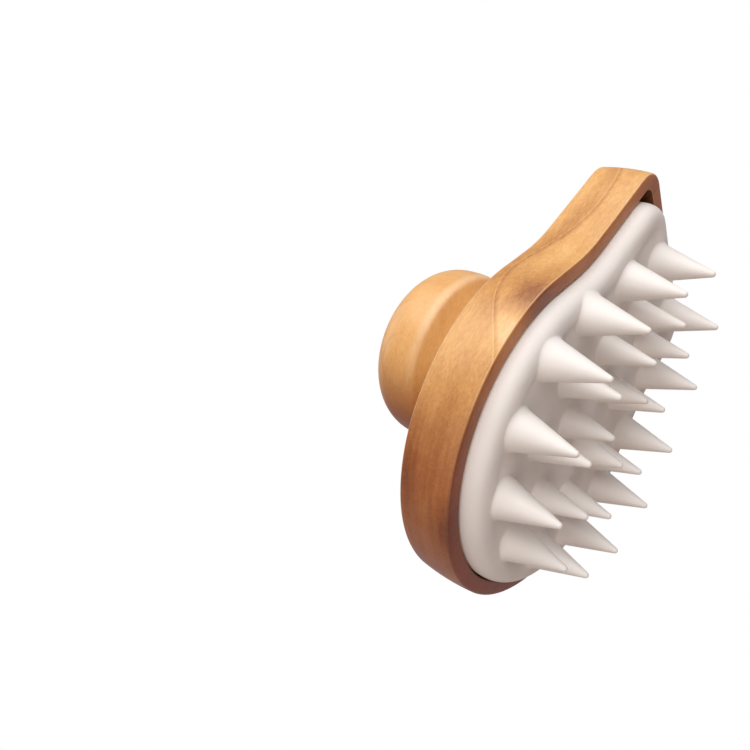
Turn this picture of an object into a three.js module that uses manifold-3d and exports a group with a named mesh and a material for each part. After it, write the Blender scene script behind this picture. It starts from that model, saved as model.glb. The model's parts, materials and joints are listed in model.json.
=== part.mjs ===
// Palm-held scalp massager brush: a wooden plate with a turned knob on its back, and a silicone
// base with conical bristles in a pocket in its face.
// Millimetres, +Z up. The brush stands on its longest bristles at z = 0 with the knob on top. The
// plate's round head is towards -Y, its square tail towards +Y, and x = 0 is its centre line.

import * as THREE from 'three';
import { mergeVertices } from 'three/addons/utils/BufferGeometryUtils.js';
import Module from 'manifold-3d';

const wasm = await Module();
wasm.setup();

// ---- Driving dimensions -------------------------------------------------------------------------

const FIT_GAP = 0.3;               // air left between two pieces that rest on each other
const CUT_OVERRUN = 1;             // how far a cutter runs past the face that it opens

// Plan outline of the plate, measured from the centre of its round head
const HEAD_RADIUS = 38.7;
const TAIL_REACH = 55.6;           // to the tail's end
const TAIL_HALF_WIDTH = 27.2;      // at the tail's end
const TAIL_CORNER_RADIUS = 7;
const KNEE_REACH = 26.4;           // to where the head's flank meets the tail's side
const KNEE_RADIUS = 34;
const FLANK_ANGLE = 23.4;          // degrees past the widest point at which the straight flank begins
const SMALLEST_CORNER_RADIUS = 2;
const HEAD_STEPS = 16;
const KNEE_STEPS = 5;
const CORNER_STEPS = 4;

// Heights, from the bristle tips up
const OUTER_BRISTLE_LENGTH = 12.8; // from the base's face to the tip
const MIDDLE_BRISTLE_LENGTH = 11.4;
const CENTRE_BRISTLE_LENGTH = 10.4;
const BASE_PROUD = 3.4;            // the silicone base stands this far out of the plate's rim
const PLATE_THICKNESS = 12;
const POCKET_DEPTH = 5;
const FACE_Z = OUTER_BRISTLE_LENGTH;
const RIM_Z = FACE_Z + BASE_PROUD;
const POCKET_FLOOR_Z = RIM_Z + POCKET_DEPTH;
const PLATE_TOP_Z = RIM_Z + PLATE_THICKNESS;

// Plate
const POCKET_INSET = 3.8;          // from the widest outline to the pocket's wall
const WALL_BELLY = 0.4;            // how far the side wall swells between its two edges
const WALL_STEPS = 5;
const EDGE_ROUND = 0.7;            // rounding of the plate's two outer edges

// Knob: a full dome on a cap that turns in at a ridge below its widest line, over a flared neck
const KNOB_REACH = 9.15;           // from the head's centre to the knob's axis
const KNOB_RADIUS = 21.7;
const KNOB_FOOT_RADIUS = 12.5;
const KNOB_WIDEST_HEIGHT = 23.1;   // above the plate
const KNOB_DOME_HEIGHT = 13;
const KNOB_DOME_FULLNESS = 2.4;    // 2 is an ellipse, more is squarer
const CAP_TURN_WIDTH = 2.8;
const CAP_TURN_DEPTH = 5.6;
const CAP_TURN_ANGLE = 65;         // degrees of the turn below the widest line
const CAP_TURN_FULLNESS = 3;
const NECK_FLARE_POWER = 3;
const KNOB_SIDES = 36;
const NECK_STEPS = 6;
const CAP_TURN_STEPS = 6;
const KNOB_DOME_STEPS = 9;
const TENON_RADIUS = 8;
const TENON_LENGTH = 1.5;
const PILOT_TOP_Z = PLATE_TOP_Z + 24;

// Countersunk wood screw that holds the knob on
const SCREW_SIDES = 12;
const SCREW_RADIUS = 2;
const SCREW_CORE_RADIUS = 1.4;
const SCREW_HEAD_RADIUS = 4;
const SCREW_HEAD_HEIGHT = 2.2;
const SCREW_LENGTH = 29;
const SCREW_SHANK_END = 8;
const SCREW_TIP_LENGTH = 4;
const THREAD_PITCH = 2.4;
const THREAD_TURNS = 7;
const SLOT_WIDTH = 0.9;
const SLOT_LENGTH = 4.4;
const SLOT_DEPTH = 1.3;
const SCREW_HEAD_Z = POCKET_FLOOR_Z + FIT_GAP;

// Adhesive sheet on the pocket floor
const ADHESIVE_THICKNESS = 0.5;
const ADHESIVE_INSET = POCKET_INSET + 2;

// Silicone base
const BASE_GAP = 0.4;              // between the base and the pocket's wall
const BASE_TAIL_GAP = 0.6;           // added to it at the tail's end
const BASE_CORNER_RADIUS = 12.5;
const LIP_HEIGHT = 0.5;            // of the base's rounded edge over the floor between the bristles
const LIP_FALL_WIDTH = 3.2;        // from the edge's crest in to the floor
const LIP_FALL_STEPS = 3;
const SHOULDER_WIDTH = 3.8;        // from the base's side in to the crest
const SHOULDER_HEIGHT = 4.5;
const SHOULDER_FULLNESS = 2.5;
const SHOULDER_STEPS = 4;
const BASE_TOP_Z = POCKET_FLOOR_Z - ADHESIVE_THICKNESS - 2 * FIT_GAP;

// Bristles. A round root turns in a socket in the base, which stands in for the silicone's flex.
const OUTER_ROOT_RADIUS = 4.3;
const INNER_ROOT_RADIUS = 3.6;
const TIP_RADIUS = 0.7;
const SOCKET_CLEARANCE = 0.5;
const BRISTLE_SIDES = 12;
const ROOT_STEPS = 5;
const TIP_STEPS = 2;

// Bristle rows: arcs about points a little behind the head's centre, then mirrored pairs as
// [distance from the centre line, distance from the head's centre towards the tail]
const ROW_CENTRE_SHIFT = 2.5;
const OUTER_ROW_RADIUS = 27.9;
const OUTER_ROW_STEP = 30;
const OUTER_ROW_SIDE_COUNT = 4;
const OUTER_PAIRS = [[17.5, 30.9], [9.5, 43.2]];
const MIDDLE_ROW_RADIUS = 16.6;
const MIDDLE_ROW_STEP = 50;
const MIDDLE_ROW_SIDE_COUNT = 2;
const MIDDLE_PAIRS = [[9.4, 18.6], [5.7, 31.5]];
const CENTRE_PAIR = [6.1, 1.3];
const CENTRE_SINGLE_REACH = 14.6;

// The origin lies halfway along the plate, so the head's centre is in front of it.
const HEAD_CENTRE_Y = (HEAD_RADIUS - TAIL_REACH) / 2;
const KNOB_Y = HEAD_CENTRE_Y + KNOB_REACH;

// ---- Materials ----------------------------------------------------------------------------------

const plateWood = new THREE.MeshStandardMaterial({ color: 0xbd7a3e, roughness: 0.42, metalness: 0 });
const knobWood = new THREE.MeshStandardMaterial({ color: 0xdca56a, roughness: 0.38, metalness: 0 });
const silicone = new THREE.MeshStandardMaterial({ color: 0xe6dfda, roughness: 0.55, metalness: 0 });
const steel = new THREE.MeshStandardMaterial({ color: 0x9a9da0, roughness: 0.35, metalness: 1 });
const adhesive = new THREE.MeshStandardMaterial({ color: 0xd8d4c4, roughness: 0.7, metalness: 0 });

// ---- Solids -------------------------------------------------------------------------------------

// A geometry's triangles on shared vertices, without the slivers that lie at an axis or a seam
function weld(source) {
  const bare = source.clone();
  bare.deleteAttribute('normal');
  bare.deleteAttribute('uv');
  const merged = mergeVertices(bare, 1e-4);
  const index = merged.index.array;
  const kept = [];
  for (let i = 0; i < index.length; i += 3) {
    const [a, b, c] = [index[i], index[i + 1], index[i + 2]];
    if (a !== b && b !== c && c !== a) kept.push(a, b, c);
  }
  merged.setIndex(kept);
  return merged;
}

function solidOf(geometry) {
  const welded = weld(geometry);
  return new wasm.Manifold(new wasm.Mesh({
    numProp: 3,
    vertProperties: new Float32Array(welded.attributes.position.array),
    triVerts: new Uint32Array(welded.index.array),
  }));
}

function geometryOf(solid) {
  const mesh = solid.getMesh();
  const geometry = new THREE.BufferGeometry();
  geometry.setAttribute('position', new THREE.BufferAttribute(mesh.vertProperties, 3));
  geometry.setIndex(new THREE.BufferAttribute(mesh.triVerts, 1));
  geometry.computeVertexNormals();
  return geometry;
}

function cut(geometry, cutters) {
  let solid = solidOf(geometry);
  for (const cutter of cutters) solid = solid.subtract(solidOf(cutter));
  return geometryOf(solid);
}

// A turned solid about +Z, from [radius, z] points listed upwards, starting and ending on the axis
function turned(points, sides) {
  const profile = points.map(([radius, z]) => new THREE.Vector2(radius, z));
  return weld(new THREE.LatheGeometry(profile, sides).rotateX(Math.PI / 2));
}

// A body closed by a downward cap on its first ring and an upward cap on its last. Every ring holds
// the same number of points, counterclockwise seen from above.
function stacked(rings) {
  const count = rings[0].outline.length;
  const positions = rings.flatMap(({ outline, z }) => outline.flatMap((p) => [p.x, p.y, z]));
  const indices = [];
  for (let ring = 0; ring < rings.length - 1; ring += 1) {
    for (let i = 0; i < count; i += 1) {
      const next = (i + 1) % count;
      const [a, b] = [ring * count + i, ring * count + next];
      indices.push(a, b, b + count, a, b + count, a + count);
    }
  }
  const lastStart = (rings.length - 1) * count;
  for (const [a, b, c] of THREE.ShapeUtils.triangulateShape(rings[0].outline, [])) {
    indices.push(a, c, b);
  }
  for (const [a, b, c] of THREE.ShapeUtils.triangulateShape(rings.at(-1).outline, [])) {
    indices.push(lastStart + a, lastStart + b, lastStart + c);
  }
  const geometry = new THREE.BufferGeometry();
  geometry.setAttribute('position', new THREE.Float32BufferAttribute(positions, 3));
  geometry.setIndex(indices);
  geometry.computeVertexNormals();
  return geometry;
}

// ---- Plan outline -------------------------------------------------------------------------------

function outwardNormal(direction) {
  return new THREE.Vector2(direction.y, -direction.x);
}

function along(from, to) {
  return to.clone().sub(from).normalize();
}

// Points round the corner between two straight stretches
function fillet(previous, corner, next, radius, steps) {
  const incoming = along(previous, corner);
  const outgoing = along(corner, next);
  const turn = Math.atan2(incoming.cross(outgoing), incoming.dot(outgoing));
  const side = Math.sign(turn);
  const start = corner.clone().addScaledVector(incoming, -radius * Math.tan(Math.abs(turn) / 2));
  const centre = start.clone().addScaledVector(outwardNormal(incoming), -side * radius);
  const firstAngle = outwardNormal(incoming).angle();
  const points = [];
  for (let i = 0; i <= steps; i += 1) {
    const angle = firstAngle + (turn * i) / steps;
    points.push(centre.clone().add(new THREE.Vector2(Math.cos(angle), Math.sin(angle))
      .multiplyScalar(side * radius)));
  }
  return points;
}

// A corner of the outline, moved in with both of its straight stretches
function insetCorner(previous, corner, next, inset) {
  const before = outwardNormal(along(previous, corner));
  const after = outwardNormal(along(corner, next));
  const shift = -inset / (1 + before.dot(after));
  return corner.clone().addScaledVector(before, shift).addScaledVector(after, shift);
}

// The plate's plan outline, moved in by inset, counterclockwise from the tip of the round head
function outline(inset, tailReach = TAIL_REACH, roundedTo = TAIL_CORNER_RADIUS) {
  const flankAngle = THREE.MathUtils.degToRad(FLANK_ANGLE);
  const centre = new THREE.Vector2(0, HEAD_CENTRE_Y);
  const rim = (angle, radius) => new THREE.Vector2(Math.cos(angle), Math.sin(angle))
    .multiplyScalar(radius).add(centre);
  const flankStart = rim(flankAngle, HEAD_RADIUS);
  const flankLength = (KNEE_REACH - HEAD_RADIUS * Math.sin(flankAngle)) / Math.cos(flankAngle);
  const knee = flankStart.clone().add(new THREE.Vector2(-Math.sin(flankAngle), Math.cos(flankAngle))
    .multiplyScalar(flankLength));
  const tailCorner = new THREE.Vector2(TAIL_HALF_WIDTH, HEAD_CENTRE_Y + tailReach);
  const tailMiddle = new THREE.Vector2(0, HEAD_CENTRE_Y + tailReach);

  const half = [];
  for (let i = 0; i <= HEAD_STEPS; i += 1) {
    const angle = -Math.PI / 2 + ((flankAngle + Math.PI / 2) * i) / HEAD_STEPS;
    half.push(rim(angle, HEAD_RADIUS - inset));
  }
  const innerKnee = insetCorner(flankStart, knee, tailCorner, inset);
  const innerCorner = insetCorner(knee, tailCorner, tailMiddle, inset);
  const innerMiddle = tailMiddle.clone().sub(new THREE.Vector2(0, inset));
  const cornerRadius = Math.max(roundedTo - inset, SMALLEST_CORNER_RADIUS);
  half.push(...fillet(half.at(-1), innerKnee, innerCorner, KNEE_RADIUS + inset, KNEE_STEPS));
  half.push(...fillet(innerKnee, innerCorner, innerMiddle, cornerRadius, CORNER_STEPS));

  const otherHalf = half.slice(1).reverse().map((p) => new THREE.Vector2(-p.x, p.y));
  return [...half, ...otherHalf];
}

// ---- Pieces -------------------------------------------------------------------------------------

function onKnobAxis(geometry) {
  return geometry.translate(0, KNOB_Y, 0);
}

function backingPlate() {
  const rings = [
    { outline: outline(POCKET_INSET), z: POCKET_FLOOR_Z },
    { outline: outline(POCKET_INSET), z: RIM_Z },
    { outline: outline(WALL_BELLY + EDGE_ROUND), z: RIM_Z },
  ];
  const wallHeight = PLATE_THICKNESS - 2 * EDGE_ROUND;
  for (let i = 0; i <= WALL_STEPS; i += 1) {
    const part = i / WALL_STEPS;
    const swell = 1 - (2 * part - 1) ** 2;
    rings.push({
      outline: outline(WALL_BELLY * (1 - swell)),
      z: RIM_Z + EDGE_ROUND + wallHeight * part,
    });
  }
  rings.push({ outline: outline(WALL_BELLY + EDGE_ROUND), z: PLATE_TOP_Z });

  const holeRadius = SCREW_RADIUS + FIT_GAP;
  const sinkRadius = SCREW_HEAD_RADIUS + FIT_GAP;
  const screwHole = turned([
    [0, POCKET_FLOOR_Z - CUT_OVERRUN],
    [sinkRadius, POCKET_FLOOR_Z - CUT_OVERRUN],
    [sinkRadius, SCREW_HEAD_Z],
    [holeRadius, SCREW_HEAD_Z + SCREW_HEAD_HEIGHT],
    [holeRadius, PLATE_TOP_Z + CUT_OVERRUN],
    [0, PLATE_TOP_Z + CUT_OVERRUN],
  ], SCREW_SIDES);
  const tenonRecess = turned([
    [0, PLATE_TOP_Z - TENON_LENGTH],
    [TENON_RADIUS + FIT_GAP, PLATE_TOP_Z - TENON_LENGTH],
    [TENON_RADIUS + FIT_GAP, PLATE_TOP_Z + CUT_OVERRUN],
    [0, PLATE_TOP_Z + CUT_OVERRUN],
  ], KNOB_SIDES);
  return cut(stacked(rings), [onKnobAxis(screwHole), onKnobAxis(tenonRecess)]);
}

function gripKnob() {
  const footZ = PLATE_TOP_Z + FIT_GAP;
  const tenonZ = PLATE_TOP_Z - TENON_LENGTH + FIT_GAP;
  const widestZ = PLATE_TOP_Z + KNOB_WIDEST_HEIGHT;
  const capTurn = (angle) => [
    KNOB_RADIUS - CAP_TURN_WIDTH * (1 - Math.cos(angle) ** (2 / CAP_TURN_FULLNESS)),
    widestZ - CAP_TURN_DEPTH * Math.sin(angle) ** (2 / CAP_TURN_FULLNESS),
  ];
  const turnAngle = THREE.MathUtils.degToRad(CAP_TURN_ANGLE);
  const [neckTopRadius, neckTopZ] = capTurn(turnAngle);
  const profile = [[0, tenonZ], [TENON_RADIUS, tenonZ], [TENON_RADIUS, footZ]];
  for (let i = 0; i < NECK_STEPS; i += 1) {
    const part = i / NECK_STEPS;
    profile.push([
      KNOB_FOOT_RADIUS + (neckTopRadius - KNOB_FOOT_RADIUS) * part ** NECK_FLARE_POWER,
      footZ + (neckTopZ - footZ) * part,
    ]);
  }
  for (let i = 0; i < CAP_TURN_STEPS; i += 1) {
    profile.push(capTurn(turnAngle * (1 - i / CAP_TURN_STEPS)));
  }
  for (let i = 0; i < KNOB_DOME_STEPS; i += 1) {
    const angle = ((Math.PI / 2) * i) / KNOB_DOME_STEPS;
    profile.push([
      KNOB_RADIUS * Math.cos(angle) ** (2 / KNOB_DOME_FULLNESS),
      widestZ + KNOB_DOME_HEIGHT * Math.sin(angle) ** (2 / KNOB_DOME_FULLNESS),
    ]);
  }
  profile.push([0, widestZ + KNOB_DOME_HEIGHT]);

  const pilotHole = turned([
    [0, tenonZ - CUT_OVERRUN],
    [SCREW_RADIUS + FIT_GAP, tenonZ - CUT_OVERRUN],
    [SCREW_RADIUS + FIT_GAP, PILOT_TOP_Z],
    [0, PILOT_TOP_Z],
  ], SCREW_SIDES);
  return onKnobAxis(cut(turned(profile, KNOB_SIDES), [pilotHole]));
}

function knobScrew() {
  const profile = [
    [0, SCREW_HEAD_Z],
    [SCREW_HEAD_RADIUS, SCREW_HEAD_Z],
    [SCREW_RADIUS, SCREW_HEAD_Z + SCREW_HEAD_HEIGHT],
    [SCREW_RADIUS, SCREW_HEAD_Z + SCREW_SHANK_END],
  ];
  for (let turn = 0; turn < THREAD_TURNS; turn += 1) {
    const rootZ = SCREW_HEAD_Z + SCREW_SHANK_END + THREAD_PITCH * (turn + 0.25);
    profile.push([SCREW_CORE_RADIUS, rootZ]);
    profile.push([SCREW_RADIUS, rootZ + THREAD_PITCH / 2]);
  }
  profile.push([SCREW_CORE_RADIUS, SCREW_HEAD_Z + SCREW_LENGTH - SCREW_TIP_LENGTH]);
  profile.push([0, SCREW_HEAD_Z + SCREW_LENGTH]);
  const slots = [0, Math.PI / 2].map((angle) => (
    new THREE.BoxGeometry(SLOT_LENGTH, SLOT_WIDTH, 2 * SLOT_DEPTH)
      .rotateZ(angle).translate(0, 0, SCREW_HEAD_Z)
  ));
  return onKnobAxis(cut(turned(profile, SCREW_SIDES), slots));
}

function padAdhesive() {
  const topZ = POCKET_FLOOR_Z - FIT_GAP;
  return stacked([
    { outline: outline(ADHESIVE_INSET), z: topZ - ADHESIVE_THICKNESS },
    { outline: outline(ADHESIVE_INSET), z: topZ },
  ]);
}

// A ball root, and a cone that leaves it as a tangent and ends in a rounded tip, pointing down
function bristle({ length, rootRadius }) {
  const tipCentre = length - TIP_RADIUS;
  const slope = Math.asin((rootRadius - TIP_RADIUS) / tipCentre);
  const profile = [[0, -length]];
  for (let i = 1; i <= TIP_STEPS; i += 1) {
    const angle = -Math.PI / 2 + ((Math.PI / 2 - slope) * i) / TIP_STEPS;
    profile.push([TIP_RADIUS * Math.cos(angle), -tipCentre + TIP_RADIUS * Math.sin(angle)]);
  }
  for (let i = 0; i < ROOT_STEPS; i += 1) {
    const angle = -slope + ((Math.PI / 2 + slope) * i) / ROOT_STEPS;
    profile.push([rootRadius * Math.cos(angle), rootRadius * Math.sin(angle)]);
  }
  profile.push([0, rootRadius]);
  return turned(profile, BRISTLE_SIDES);
}

function socketCutter({ x, y, rootRadius }) {
  const radius = rootRadius + SOCKET_CLEARANCE;
  const profile = [[0, -BASE_PROUD], [radius, -BASE_PROUD]];
  for (let i = 0; i < ROOT_STEPS; i += 1) {
    const angle = ((Math.PI / 2) * i) / ROOT_STEPS;
    profile.push([radius * Math.cos(angle), radius * Math.sin(angle)]);
  }
  profile.push([0, radius]);
  return turned(profile, BRISTLE_SIDES).translate(x, y, FACE_Z);
}

function bristleBase(places) {
  const edge = (inset) => outline(
    POCKET_INSET + BASE_GAP + inset,
    TAIL_REACH - BASE_TAIL_GAP,
    BASE_CORNER_RADIUS,
  );
  const rings = [];
  for (let i = 0; i < LIP_FALL_STEPS; i += 1) {
    const share = i / LIP_FALL_STEPS;
    rings.push({
      outline: edge(SHOULDER_WIDTH + LIP_FALL_WIDTH * (1 - share)),
      z: FACE_Z - (LIP_HEIGHT * (1 - Math.cos(Math.PI * share))) / 2,
    });
  }
  const power = 2 / SHOULDER_FULLNESS;
  for (let i = 0; i <= SHOULDER_STEPS; i += 1) {
    const angle = (Math.PI / 2) * (1 - i / SHOULDER_STEPS);
    rings.push({
      outline: edge(SHOULDER_WIDTH * (1 - Math.cos(angle) ** power)),
      z: FACE_Z - LIP_HEIGHT + SHOULDER_HEIGHT * (1 - Math.sin(angle) ** power),
    });
  }
  rings.push({ outline: edge(0), z: BASE_TOP_Z });
  return cut(stacked(rings), places.map(socketCutter));
}

// ---- Bristle places -----------------------------------------------------------------------------

function rowPlaces(kind, rowRadius, stepDegrees, sideCount, pairs) {
  const places = [];
  const middleY = HEAD_CENTRE_Y + ROW_CENTRE_SHIFT;
  for (let i = -sideCount; i <= sideCount; i += 1) {
    const angle = THREE.MathUtils.degToRad(-90 + stepDegrees * i);
    places.push({ ...kind, x: rowRadius * Math.cos(angle), y: middleY + rowRadius * Math.sin(angle) });
  }
  for (const [offset, reach] of pairs) {
    for (const side of [-1, 1]) places.push({ ...kind, x: side * offset, y: HEAD_CENTRE_Y + reach });
  }
  return places;
}

function bristlePlaces() {
  const outer = { length: OUTER_BRISTLE_LENGTH, rootRadius: OUTER_ROOT_RADIUS };
  const middle = { length: MIDDLE_BRISTLE_LENGTH, rootRadius: INNER_ROOT_RADIUS };
  const centre = { length: CENTRE_BRISTLE_LENGTH, rootRadius: INNER_ROOT_RADIUS };
  const [pairOffset, pairReach] = CENTRE_PAIR;
  return [
    ...rowPlaces(outer, OUTER_ROW_RADIUS, OUTER_ROW_STEP, OUTER_ROW_SIDE_COUNT, OUTER_PAIRS),
    ...rowPlaces(middle, MIDDLE_ROW_RADIUS, MIDDLE_ROW_STEP, MIDDLE_ROW_SIDE_COUNT, MIDDLE_PAIRS),
    { ...centre, x: -pairOffset, y: HEAD_CENTRE_Y + pairReach },
    { ...centre, x: pairOffset, y: HEAD_CENTRE_Y + pairReach },
    { ...centre, x: 0, y: HEAD_CENTRE_Y + CENTRE_SINGLE_REACH },
  ];
}

// ---- Assembly -----------------------------------------------------------------------------------

function piece(name, geometry, material) {
  const mesh = new THREE.Mesh(geometry, material);
  mesh.name = name;
  return mesh;
}

const places = bristlePlaces();

const handle = new THREE.Group();
handle.add(
  piece('backing_plate', backingPlate(), plateWood),
  piece('grip_knob', gripKnob(), knobWood),
  piece('knob_screw', knobScrew(), steel),
);

const bristlePad = new THREE.Group();
bristlePad.add(
  piece('pad_adhesive', padAdhesive(), adhesive),
  piece('bristle_base', bristleBase(places), silicone),
);
places.forEach((place, i) => {
  const name = `bristle_${String(i + 1).padStart(2, '0')}`;
  const mesh = piece(name, bristle(place), silicone);
  mesh.position.set(place.x, place.y, FACE_Z);
  bristlePad.add(mesh);
});

const brush = new THREE.Group();
brush.add(handle, bristlePad);

export default brush;
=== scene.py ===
import json
import math

import bmesh
import bpy
from mathutils import Matrix, Vector, noise
from mathutils.bvhtree import BVHTree


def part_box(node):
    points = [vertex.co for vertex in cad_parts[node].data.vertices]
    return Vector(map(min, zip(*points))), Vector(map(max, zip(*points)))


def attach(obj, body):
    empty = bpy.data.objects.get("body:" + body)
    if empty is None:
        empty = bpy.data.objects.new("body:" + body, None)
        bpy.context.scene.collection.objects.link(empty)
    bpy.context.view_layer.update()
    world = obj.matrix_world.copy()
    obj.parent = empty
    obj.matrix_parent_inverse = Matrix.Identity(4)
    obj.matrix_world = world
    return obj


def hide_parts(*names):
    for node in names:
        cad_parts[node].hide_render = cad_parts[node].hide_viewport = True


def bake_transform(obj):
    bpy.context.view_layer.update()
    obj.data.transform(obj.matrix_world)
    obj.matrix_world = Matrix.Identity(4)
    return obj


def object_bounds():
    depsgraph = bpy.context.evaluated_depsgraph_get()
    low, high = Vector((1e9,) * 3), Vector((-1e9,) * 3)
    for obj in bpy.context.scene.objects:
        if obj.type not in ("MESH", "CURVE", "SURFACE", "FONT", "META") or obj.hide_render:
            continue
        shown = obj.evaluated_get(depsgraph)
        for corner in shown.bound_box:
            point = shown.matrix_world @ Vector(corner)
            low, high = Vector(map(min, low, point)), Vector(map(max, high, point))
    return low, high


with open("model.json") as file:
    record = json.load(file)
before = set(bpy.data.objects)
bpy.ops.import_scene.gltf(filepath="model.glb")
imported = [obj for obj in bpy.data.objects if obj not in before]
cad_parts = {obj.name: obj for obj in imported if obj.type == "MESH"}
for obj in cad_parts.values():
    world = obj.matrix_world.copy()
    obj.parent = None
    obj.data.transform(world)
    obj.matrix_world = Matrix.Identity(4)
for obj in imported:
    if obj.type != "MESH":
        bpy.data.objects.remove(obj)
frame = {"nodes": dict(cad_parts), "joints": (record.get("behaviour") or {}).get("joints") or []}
cad_low, cad_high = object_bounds()

MM = 0.001
TURN = 2 * math.pi


# ---- Sizes, in millimetres ----------------------------------------------------------------------

# Plan outline of the plate, from the centre of its round head
HEAD_RADIUS = 38.7
TAIL_REACH = 55.6
TAIL_HALF_WIDTH = 27.2
TAIL_CORNER_RADIUS = 7.0
KNEE_REACH = 26.4
KNEE_RADIUS = 34.0
FLANK_ANGLE = math.radians(23.4)
SMALLEST_CORNER_RADIUS = 2.0
HEAD_STEPS = 84
FLANK_STEPS = 8
KNEE_STEPS = 18
TAIL_SIDE_STEPS = 14
CORNER_STEPS = 12
TAIL_END_STEPS = 22

# Air left between two pieces that rest on each other
FIT_GAP = 0.3

# Plate
POCKET_INSET = 3.8
POCKET_DEPTH = 5.0
WALL_BELLY = 0.4
ARRIS = 0.7
POCKET_ARRIS = 0.35
ARRIS_STEPS = 6
WALL_STEPS = 14
BACK_MARGIN = 0.4
HOLE_RADIUS = 2.3
SINK_RADIUS = 4.3
SINK_DEPTH = 2.5
SINK_LAND = 0.3
RECESS_RADIUS = 8.3
RECESS_DEPTH = 1.5

# Unevenness of the plate's sanded walls, away from their edges and from the holes
WAVER = 0.06
WAVER_PER_METRE = 90
WAVER_EDGE_MARGIN = 0.1
WAVER_INNER_REACH = 20

# Knob
KNOB_WIDEST_HEIGHT = 23.1
KNOB_DOME_HEIGHT = 13.0
KNOB_DOME_FULLNESS = 2.4
KNOB_DOME_STEPS = 40
KNOB_FOOT_RADIUS = 12.5
KNOB_FOOT_ROUND = 0.5
KNOB_FOOT_STEPS = 4
CAP_TURN_WIDTH = 2.8
CAP_TURN_DEPTH = 5.6
CAP_TURN_ANGLE = math.radians(65)
CAP_TURN_FULLNESS = 3.0
CAP_TURN_STEPS = 26
CAP_TURN_SPACING = 1.4
NECK_FLARE_POWER = 3
NECK_STEPS = 26
TENON_RADIUS = 8.0
TENON_ARRIS = 0.3
PILOT_RADIUS = 2.3
PILOT_REACH = 24.0
KNOB_SIDES = 128

# Screw. Its head's rounded rim is given as height and inset, its cross recess as height,
# half length and half width of the arms.
SCREW_RIM = ((0, 0.25), (0.12, 0.08), (0.35, 0))
SCREW_HEAD_HEIGHT = 2.2
SCREW_CORE_RADIUS = 1.35
SCREW_SHANK_END = 8.0
SCREW_TIP_LENGTH = 4.0
SCREW_POINT_LENGTH = 0.2
SCREW_POINT_RADIUS = 0.06
SCREW_SIDES = 40
THREAD_PITCH = 2.4
THREAD_FLANK_SHARE = 0.34
THREAD_TIP_SHARE = 0.25
THREAD_STEPS = 110
CROSS_RECESS = ((-0.5, 2.2, 0.45), (0, 2.2, 0.45), (1.3, 1.21, 0.369))

# Silicone
BASE_GAP = 0.4
BASE_TAIL_GAP = 0.6
BASE_CORNER_RADIUS = 12.5
BASE_PROUD = 3.4
LIP_HEIGHT = 0.5
LIP_FALL_WIDTH = 3.2
LIP_FALL_STEPS = 12
SHOULDER_WIDTH = 3.8
SHOULDER_HEIGHT = 4.5
SHOULDER_FULLNESS = 2.5
SHOULDER_STEPS = 18
BASE_BACK_ARRIS = 0.3
BASE_FLOOR_INSETS = (1.0, 0.3)
TIP_RADIUS = 0.7
TIP_STEPS = 7
CONE_SIDES = 56
CONE_STEPS = 22

# Fillet round the root of a cone, from FILLET_START inside the plain cone's edge to about
# FILLET_END outside it, with the skirt that ends it and a plug inside the base
ROOT_FILLET = 1.3
FILLET_FADE_DEPTH = 2.4
SMALLEST_FILLET_SHARE = 0.3
FILLET_START = 0.9
FILLET_END = 1
FILLET_STEPS = 20
SKIRT_SINK = 0.002
SKIRT_MARGIN = 0.2
SKIRT_LIMIT = 3
SKIRT_SEARCH_STEP = 0.05
HEM_INSET = 0.1
HEM_DEPTH = 0.4
PLUG_SHARE = 0.7
PLUG_DEPTH = 2.0
RAY_START_Z = -10

# Creases sharper than these stay sharp, in degrees
CREASE = 38
SCREW_CREASE = 30
CONE_CREASE = 60

# Surroundings. The camera stands off from the object's centre.
FLOOR_HALF_WIDTH = 12000
FLOOR_GAP = 0.05
CAMERA_LENS = 32.54
CAMERA_OFFSET = (132.86, -60.0, -74.59)
CAMERA_FORWARD = (-0.7408, 0.2668, 0.6164)
CAMERA_UP = (0.5377, 0.7855, 0.3062)
CAMERA_NEAREST = 5


# ---- Meshes -------------------------------------------------------------------------------------

def piece(name, points, faces, material, crease=CREASE):
    """A smooth-shaded mesh object whose faces all point outwards. Points are in metres."""
    mesh = bpy.data.meshes.new(name)
    mesh.from_pydata(points, [], faces)
    shape = bmesh.new()
    shape.from_mesh(mesh)
    bmesh.ops.recalc_face_normals(shape, faces=shape.faces)
    shape.to_mesh(mesh)
    shape.free()
    mesh.shade_smooth()
    mesh.set_sharp_from_angle(angle=math.radians(crease))
    mesh.materials.append(material)
    made = bpy.data.objects.new(name, mesh)
    bpy.context.scene.collection.objects.link(made)
    return made


def band(first, second, count):
    """Quads between two rings of count points that start at these indices."""
    return [
        (first + i, first + (i + 1) % count, second + (i + 1) % count, second + i)
        for i in range(count)
    ]


def stacked(rings, closed_loop=False):
    """Points and faces of a body from equal rings, capped at both ends or closed on itself."""
    count = len(rings[0])
    points = [point for ring in rings for point in ring]
    faces = []
    for i in range(len(rings) - 1):
        faces += band(i * count, (i + 1) * count, count)
    if closed_loop:
        faces += band((len(rings) - 1) * count, 0, count)
    else:
        faces.append(tuple(range(count))[::-1])
        faces.append(tuple(range((len(rings) - 1) * count, len(rings) * count)))
    return points, faces


def lathe(profile, sides, y):
    """Points and faces of a body turned about x = 0 and this y.

    The profile starts and ends on that axis.
    """
    points = [Vector((0, y, profile[0][1]))]
    rings = profile[1:-1]
    for radius, z in rings:
        for i in range(sides):
            angle = TURN * i / sides
            points.append(Vector((radius * math.cos(angle), y + radius * math.sin(angle), z)))
    points.append(Vector((0, y, profile[-1][1])))
    faces = [(0, 1 + (i + 1) % sides, 1 + i) for i in range(sides)]
    for k in range(len(rings) - 1):
        faces += band(1 + k * sides, 1 + (k + 1) * sides, sides)
    start, last = 1 + (len(rings) - 1) * sides, len(points) - 1
    faces += [(start + i, start + (i + 1) % sides, last) for i in range(sides)]
    return points, faces


# ---- Plan outline -------------------------------------------------------------------------------

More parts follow.
